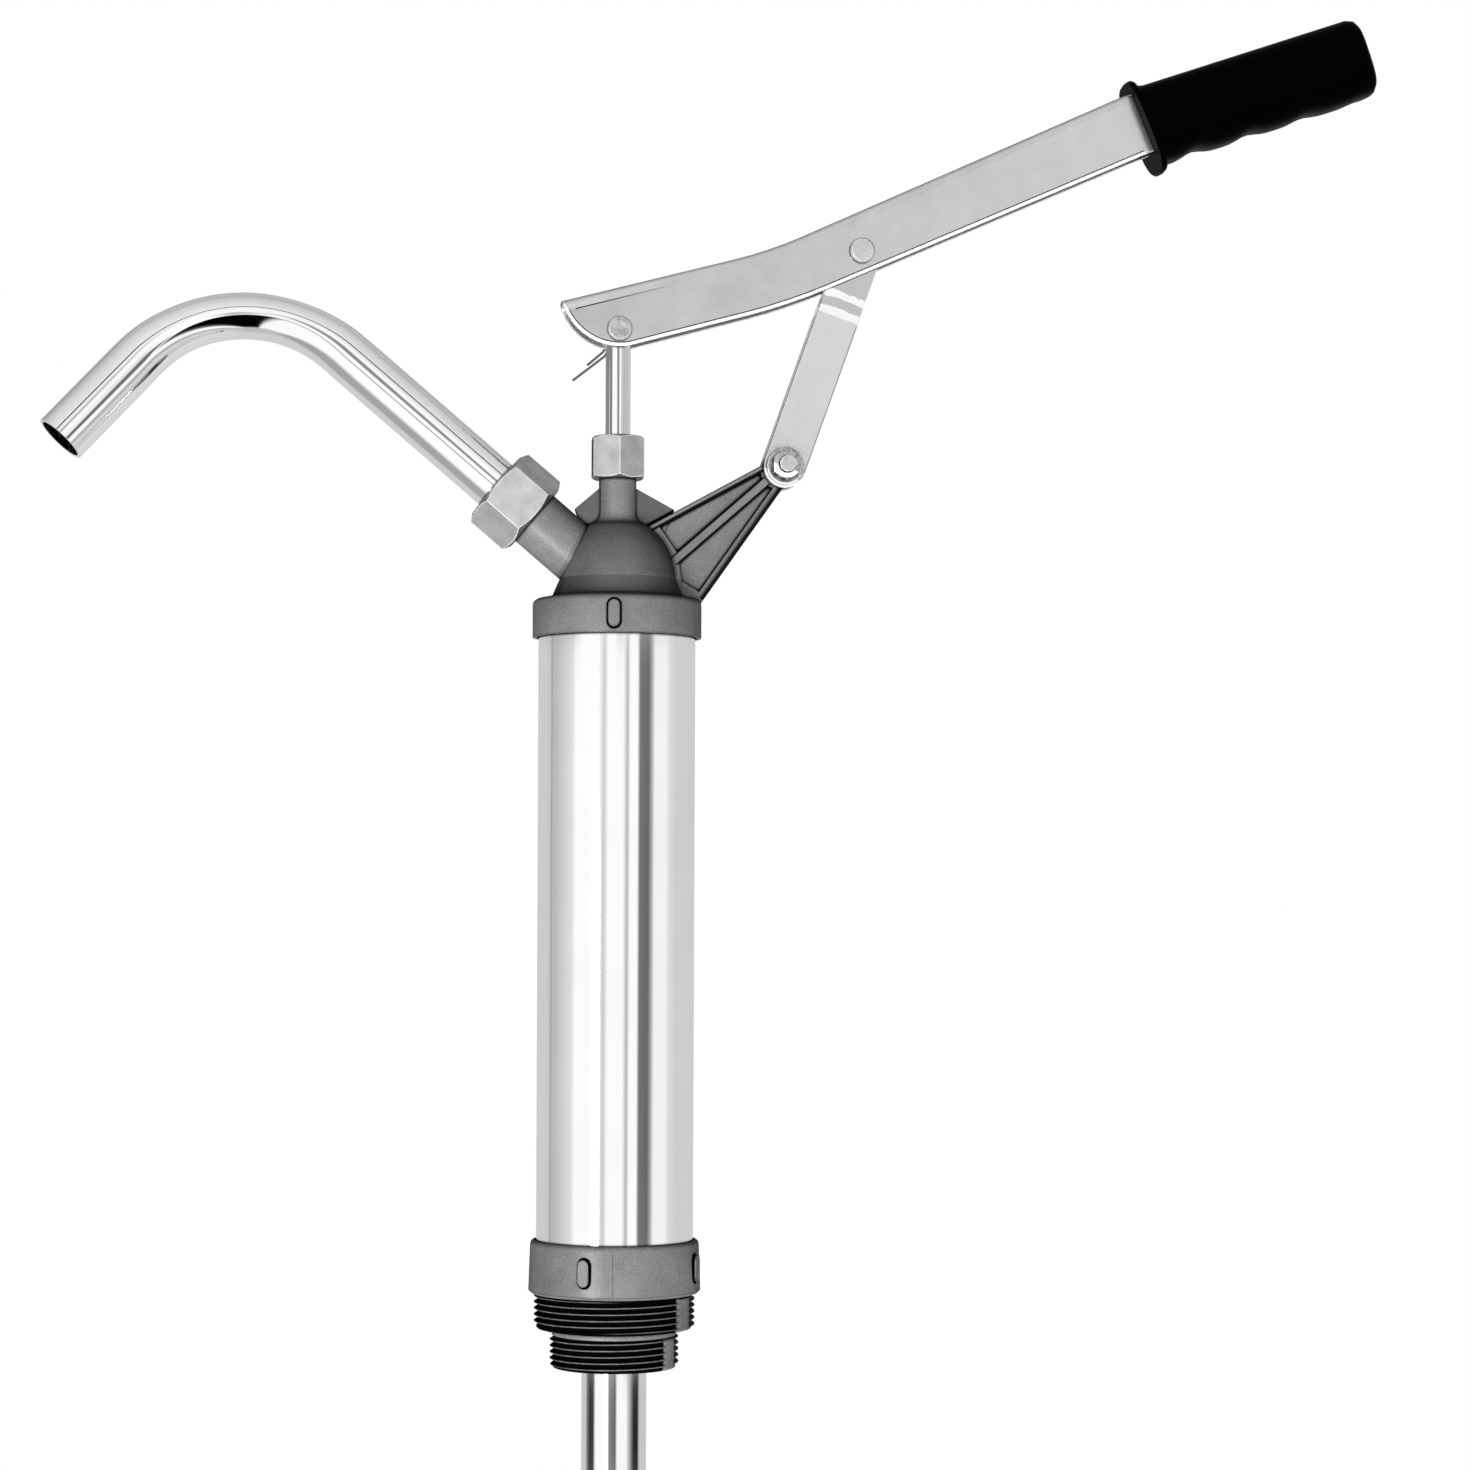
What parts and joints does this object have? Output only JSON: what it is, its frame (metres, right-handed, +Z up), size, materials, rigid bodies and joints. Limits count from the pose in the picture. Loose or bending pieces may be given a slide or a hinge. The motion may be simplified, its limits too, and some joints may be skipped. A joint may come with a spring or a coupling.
{
  "type": "drum barrel pump",
  "caption": "Hand lever drum pump with a chrome barrel, cast head and bung base, swivelling bent spout and telescopic suction tube.",
  "frame": {"origin": "on the barrel axis, where the base collar seats on the drum's bung", "axes": "+Z up along the barrel, +X towards the hand grip"},
  "size_m": [0.4956, 0.065, 1.3432],
  "materials": {
    "dark_casting": "satin dark grey die casting with a fine grain",
    "chrome": "polished chrome plate",
    "zinc_steel": "satin zinc plated steel",
    "black_pvc": "black dipped PVC with a faint sheen",
    "seal_rubber": "matt black sealing rubber",
    "brass": "plain turned brass",
    "valve_nylon": "natural nylon"
  },
  "bodies": {
    "pump_body": {"head_casting": "dark_casting", "barrel_tube": "chrome", "base_casting": "dark_casting", "head_gasket": "seal_rubber", "base_gasket": "seal_rubber", "gland_nut": "zinc_steel", "gland_packing": "seal_rubber", "spout_nut": "zinc_steel", "suction_tube_upper": "chrome", "suction_stop_ring": "brass", "foot_valve_cage": "brass", "bracket_bolt": "zinc_steel", "bracket_washer": "zinc_steel", "bracket_nut": "zinc_steel"},
    "spout": {"spout_tube": "chrome", "spout_ferrule": "brass"},
    "suction_extension": {"suction_tube_lower": "chrome"},
    "foot_ball": {"foot_valve_ball": "chrome"},
    "rod": {"pump_rod": "chrome", "piston": "brass", "piston_cup": "seal_rubber", "piston_nut": "zinc_steel", "piston_valve_stop": "zinc_steel", "rod_pin": "zinc_steel", "rod_pin_washer": "zinc_steel", "cotter_pin": "zinc_steel"},
    "piston_valve": {"piston_valve_plate": "valve_nylon"},
    "lever": {"lever_channel": "zinc_steel", "hand_grip": "black_pvc", "link_rivet_near": "zinc_steel", "link_rivet_far": "zinc_steel"},
    "link": {"link_strap_near": "zinc_steel", "link_strap_far": "zinc_steel", "link_spindle": "zinc_steel"}
  },
  "joints": [
    {"name": "rod_travel", "type": "slide", "parent": "pump_body", "child": "rod", "axis": [0, 0, 1], "range_m": [0, 0.0901]},
    {"name": "lever_stroke", "type": "hinge", "parent": "rod", "child": "lever", "pos_m": [0, 0, 0.3553], "axis": [0, 1, 0], "range_deg": [0, 55]},
    {"name": "link_swing", "type": "hinge", "parent": "pump_body", "child": "link", "pos_m": [0.0615, 0, 0.3057], "axis": [0, 1, 0], "range_deg": [-4.1, 0]},
    {"name": "spout_swivel", "type": "hinge", "parent": "pump_body", "child": "spout", "pos_m": [0, 0, 0.2595], "axis": [-0.7622, 0, 0.6473], "range_deg": [-90, 90]},
    {"name": "suction_extension_slide", "type": "slide", "parent": "pump_body", "child": "suction_extension", "axis": [0, 0, 1], "range_m": [0, 0.4]},
    {"name": "piston_valve_lift", "type": "slide", "parent": "rod", "child": "piston_valve", "axis": [0, 0, 1], "range_m": [0, 0.003]},
    {"name": "foot_valve_lift", "type": "slide", "parent": "pump_body", "child": "foot_ball", "axis": [0, 0, 1], "range_m": [0, 0.005]}
  ],
  "couplings": [
    {"joint": "rod_travel", "follows": "lever_stroke", "m_per_rad": 0.0934},
    {"joint": "link_swing", "follows": "lever_stroke", "ratio": -0.0724}
  ]
}
